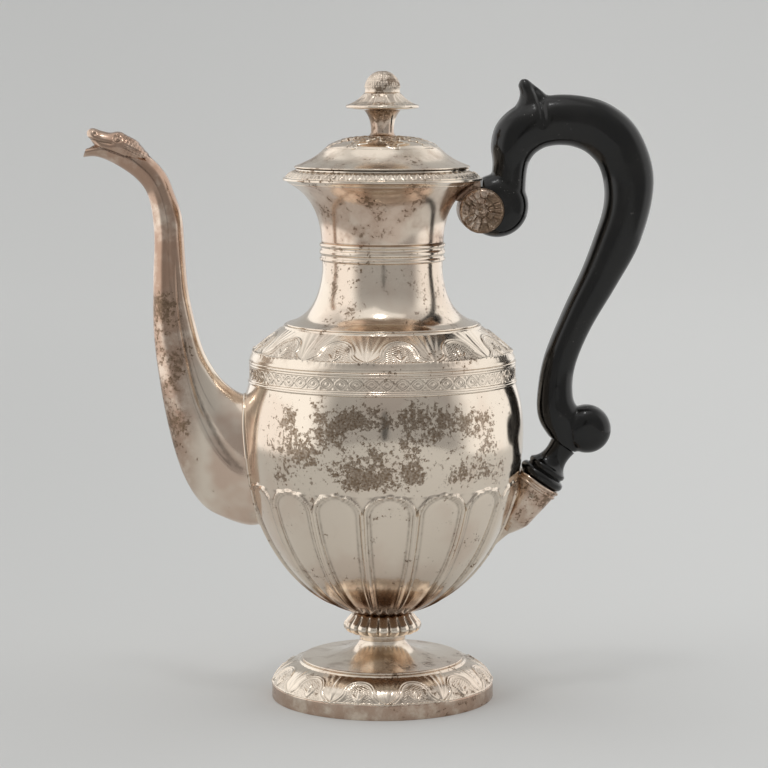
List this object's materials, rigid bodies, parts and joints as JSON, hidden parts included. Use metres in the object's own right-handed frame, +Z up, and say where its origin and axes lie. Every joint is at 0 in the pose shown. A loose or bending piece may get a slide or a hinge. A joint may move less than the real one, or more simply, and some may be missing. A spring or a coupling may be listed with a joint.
{
  "type": "coffee pot",
  "caption": "Tall silver coffee pot with a fluted bowl on a round foot, hinged domed lid, beast-head spout and dark wooden S-scroll handle.",
  "frame": {"origin": "centre of the foot's resting face", "axes": "+Z up through the finial, +X towards the handle, -X towards the spout"},
  "size_m": [0.2519, 0.1258, 0.28],
  "materials": {
    "silver": "polished silver with a light tarnish",
    "chased_silver": "chased silver, dark in the recesses",
    "ebonised_wood": "black, satin"
  },
  "bodies": {
    "pot": {"foot_band": "silver", "foot_border": "chased_silver", "pedestal": "silver", "stem_collar": "silver", "bowl": "silver", "belt_wires": "silver", "belt_strip": "chased_silver", "shoulder": "chased_silver", "neck_lower": "silver", "neck_ring": "silver", "neck_upper": "silver", "rim_band": "chased_silver", "spout_tube": "silver", "spout_head": "chased_silver", "upper_socket": "silver", "socket_rosettes": "chased_silver", "upper_pin": "silver", "handle_grip": "ebonised_wood", "lower_socket": "silver", "lower_pin": "silver", "hinge_knuckles": "silver", "hinge_pin": "silver"},
    "lid": {"lid_cover": "silver", "lid_bezel": "silver", "lid_knuckle": "silver", "lid_rosette": "chased_silver", "finial_stem": "silver", "finial_cap": "chased_silver", "finial_ball": "chased_silver", "finial_stud": "silver", "finial_nut": "silver"}
  },
  "joints": [
    {"name": "lid_hinge", "type": "hinge", "parent": "pot", "child": "lid", "pos_m": [0.0382, 0, 0.2346], "axis": [0, 1, 0], "range_deg": [0, 57]}
  ]
}
